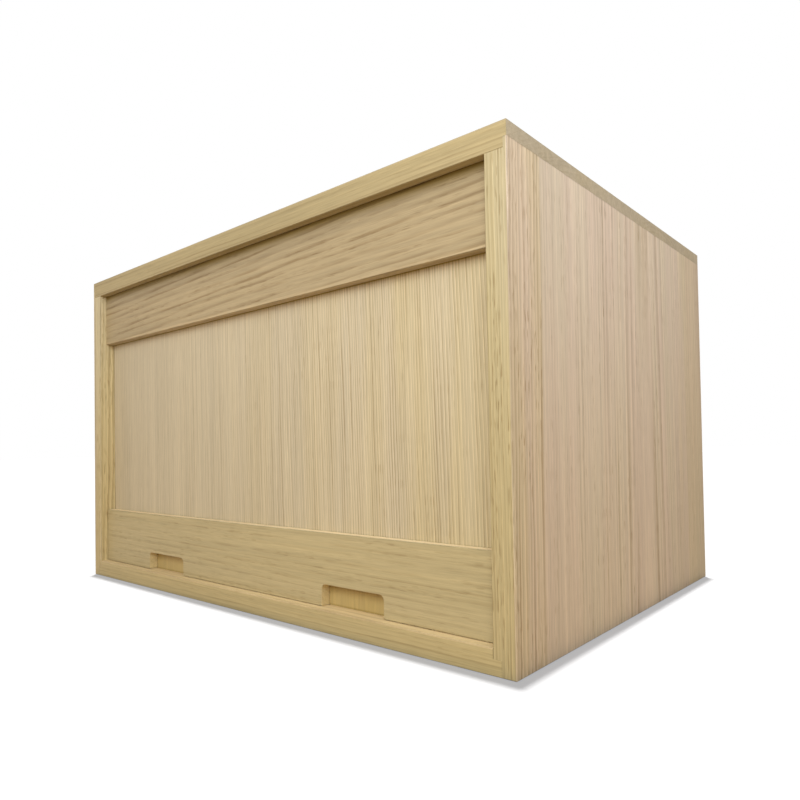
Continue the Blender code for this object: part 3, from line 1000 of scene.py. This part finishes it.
def hang(context, lamp, light, linked):
    """Hangs a light in its lamp's place, turned to the box, with the power that the panel gives it."""
    turn, rise = math.radians(lamp.azimuth), math.radians(lamp.elevation)
    direction = Vector((math.sin(turn) * math.cos(rise), -math.cos(turn) * math.cos(rise), math.sin(rise)))
    middle = (Vector(cad_box[0]) + Vector(cad_box[1])) / 2
    light.energy = getattr(context.scene.kimono_box_stage, lamp.name)
    hung = bpy.data.objects.new(lamp.name, light)
    hung.location = middle + direction * lamp.distance
    hung.rotation_euler = direction.to_track_quat("Z", "Y").to_euler()
    hung.light_linking.receiver_collection = linked
    context.scene.collection.objects.link(hung)


def soft_lamp(context, lamp, linked):
    light = bpy.data.lights.new(lamp.name, "AREA")
    light.shape = "SQUARE"
    light.size = lamp.width
    light.color = context.scene.kimono_box_stage.lamp_tint
    hang(context, lamp, light, linked)


def overhead_lamp(context, lamp, linked):
    light = bpy.data.lights.new(lamp.name, "SUN")
    light.angle = lamp.width
    hang(context, lamp, light, linked)


def photo_camera(context):
    """The photograph's camera: its turn, tilt and roll, its lens and the shift of its frame."""
    stage = context.scene.kimono_box_stage
    turn, tilt, roll = stage.camera_turn, stage.camera_tilt, stage.camera_roll
    ahead = Vector((math.sin(turn) * math.cos(tilt), math.cos(turn) * math.cos(tilt), math.sin(tilt)))
    right = Vector((math.cos(turn), -math.sin(turn), 0.0))
    over = right.cross(ahead)
    rolled_right = right * math.cos(roll) + over * math.sin(roll)
    rolled_over = over * math.cos(roll) - right * math.sin(roll)
    data = bpy.data.cameras.new("photo_camera")
    data.sensor_width = FRAME_WIDTH
    data.lens = stage.lens
    data.shift_x, data.shift_y = stage.shift
    data.clip_start = NEAREST_SEEN
    camera = bpy.data.objects.new("photo_camera", data)
    axes = Matrix((rolled_right, rolled_over, -ahead)).transposed().to_4x4()
    camera.matrix_world = Matrix.Translation(stage.camera_place) @ axes
    context.scene.collection.objects.link(camera)
    context.scene.camera = camera


# Operators


def plane(context, node, body, board, face, edge, seed, ends=None, covered=NOT_COVERED, shaded_corners=()):
    """Makes one finished board, in the colours that the panel gives for its face, its edges and its ends."""
    colours = context.scene.kimono_box_colours
    tones = [tuple(getattr(colours, field)) for field in (face, edge, ends or edge)]
    wood = planed_wood(f"{node}_wood", node, board, colours, *tones, seed, covered, shaded_corners)
    planed_board(context, node, body, wood)


class KIMONO_OT_case_boards(bpy.types.Operator):
    """Planes the top, the bottom, the two sides and the back panel"""

    bl_idname = "kimono_box.case_boards"
    bl_label = "Case Boards"

    def execute(self, context):
        plane(context, "top_board", "case", LYING, "top_face", "top", seed=1.0, ends="top_end")
        # The bottom board's upper face is painted paler, as light from above would make it
        plane(context, "bottom_board", "case", LYING, "ledge", "bottom", seed=22.0)
        plane(context, "left_side_board", "case", LEFT_SIDE, "side", "stile", seed=3.0)
        plane(context, "right_side_board", "case", RIGHT_SIDE, "side", "stile", seed=4.0)
        plane(context, "back_panel", "case", BACK, "inner", "inner", seed=5.0)
        return {"FINISHED"}


class KIMONO_OT_front_strip(bpy.types.Operator):
    """Planes the fixed strip under the top board"""

    bl_idname = "kimono_box.front_strip"
    bl_label = "Front Strip"

    def execute(self, context):
        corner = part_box("upper_front_strip")[1][2]
        # Painted shade down the strip's top, under the top board's overhang
        shaded_corners = [Dust(corner - STRIP_SHADE, corner, 1.0, False)]
        plane(
            context, "upper_front_strip", "case", STRIP, "strip", "strip",
            seed=6.0, shaded_corners=shaded_corners,
        )
        return {"FINISHED"}


class KIMONO_OT_inner_rails(bpy.types.Operator):
    """Planes the rail behind the lid's head and the battens behind its edges"""

    bl_idname = "kimono_box.inner_rails"
    bl_label = "Inner Rails"

    def execute(self, context):
        plane(context, "upper_inner_rail", "case", INNER_RAIL, "inner", "inner", seed=8.0)
        plane(context, "left_stop_batten", "case", BATTEN, "inner", "inner", seed=9.0)
        plane(context, "right_stop_batten", "case", BATTEN, "inner", "inner", seed=10.0)
        return {"FINISHED"}


class KIMONO_OT_lid(bpy.types.Operator):
    """Planes the lid's panel and the rail across its foot"""

    bl_idname = "kimono_box.lid"
    bl_label = "Lid"

    def execute(self, context):
        covered = (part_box("lid_bottom_rail")[1][2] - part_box("lid_panel")[0][2]) * MILLIMETRES
        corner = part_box("upper_front_strip")[0][2]
        openings = {each["name"]: each["box_m"] for each in frame["record"]["physics"]["openings"]}
        foot, head = [spot[2] for spot in openings["left_finger_notch"]]
        # Painted shade: a dark line on the panel just under the strip, and shade down from the head and up
        # from the foot of the finger notches, on the length that the rail covers
        shaded_corners = [
            Dust(corner - LID_SHADE, corner, 1.0, False),
            Dust(head - NOTCH_HEAD_SHADE, head, NOTCH_HEAD_SHADE_AMOUNT, True),
            Dust(foot + NOTCH_FOOT_SHADE, foot, NOTCH_FOOT_SHADE_AMOUNT, True),
        ]
        plane(
            context, "lid_panel", "lid", PANEL, "panel", "foot",
            seed=11.0, covered=covered, shaded_corners=shaded_corners,
        )
        # The rail's upper face is painted paler, as light from above would make it
        plane(
            context, "lid_bottom_rail", "lid", RAIL, "rail", "rail_edge",
            seed=12.0, ends="rail_end",
        )
        return {"FINISHED"}


class KIMONO_OT_pegs(bpy.types.Operator):
    """Turns the dowels between the boards and the pegs in the battens and the lid"""

    bl_idname = "kimono_box.pegs"
    bl_label = "Dowels and Pegs"

    def execute(self, context):
        fluted = context.scene.kimono_box_sizes.flute_depth
        plain = 0.0
        wood = turned_wood("turned_wood", context.scene.kimono_box_colours)
        rows = (
            ("top_dowels", "top_dowel_", "case", "dowels", fluted),
            ("bottom_dowels", "bottom_dowel_", "case", "dowels", fluted),
            ("stop_pegs", "stop_peg_", "case", "pegs", plain),
            ("lid_rail_pegs", "lid_rail_peg_", "lid", "pegs", plain),
        )
        for name, start, body, slot, flute_depth in rows:
            nodes = sorted(node for node in frame["nodes"] if node.startswith(start))
            peg_row(context, name, nodes, body, wood, flute_depth)
        return {"FINISHED"}


class KIMONO_OT_stage(bpy.types.Operator):
    """Sets the white world, the floor, the lamps and the camera"""

    bl_idname = "kimono_box.stage"
    bl_label = "Stage"

    def execute(self, context):
        context.scene.view_settings.view_transform = "Standard"
        white_world(context)
        floor = pale_floor(context)
        box_only = lights_on("lit_box", floor, "EXCLUDE")
        floor_only = lights_on("lit_floor", floor, "INCLUDE")
        for lamp in SOFT_LAMPS:
            soft_lamp(context, lamp, box_only)
        overhead_lamp(context, FLOOR_LAMP, floor_only)
        photo_camera(context)
        return {"FINISHED"}


OPERATORS = (
    KIMONO_OT_case_boards,
    KIMONO_OT_front_strip,
    KIMONO_OT_inner_rails,
    KIMONO_OT_lid,
    KIMONO_OT_pegs,
    KIMONO_OT_stage,
)
SETTINGS = {
    "kimono_box_sizes": KimonoBoxSizes,
    "kimono_box_colours": KimonoBoxColours,
    "kimono_box_stage": KimonoBoxStage,
}


class KIMONO_PT_box(bpy.types.Panel):
    """Lists what makes the box, and the sizes and colours it is made with"""

    bl_idname = "KIMONO_PT_box"
    bl_label = "Kimono Box"
    bl_space_type = "VIEW_3D"
    bl_region_type = "UI"
    bl_category = "Kimono Box"

    def draw(self, context):
        for name, group in SETTINGS.items():
            box = self.layout.box()
            for field in group.__annotations__:
                box.prop(getattr(context.scene, name), field)
        for operator in OPERATORS:
            self.layout.operator(operator.bl_idname)


CLASSES = (*SETTINGS.values(), *OPERATORS, KIMONO_PT_box)


def register():
    for each in CLASSES:
        bpy.utils.register_class(each)
    for name, group in SETTINGS.items():
        setattr(bpy.types.Scene, name, PointerProperty(type=group))


def unregister():
    for name in SETTINGS:
        delattr(bpy.types.Scene, name)
    for each in reversed(CLASSES):
        bpy.utils.unregister_class(each)


def main():
    """Makes the box and its stage."""
    register()
    bpy.ops.kimono_box.case_boards()
    bpy.ops.kimono_box.front_strip()
    bpy.ops.kimono_box.inner_rails()
    bpy.ops.kimono_box.lid()
    bpy.ops.kimono_box.pegs()
    bpy.ops.kimono_box.stage()


if __name__ == "__main__":
    main()
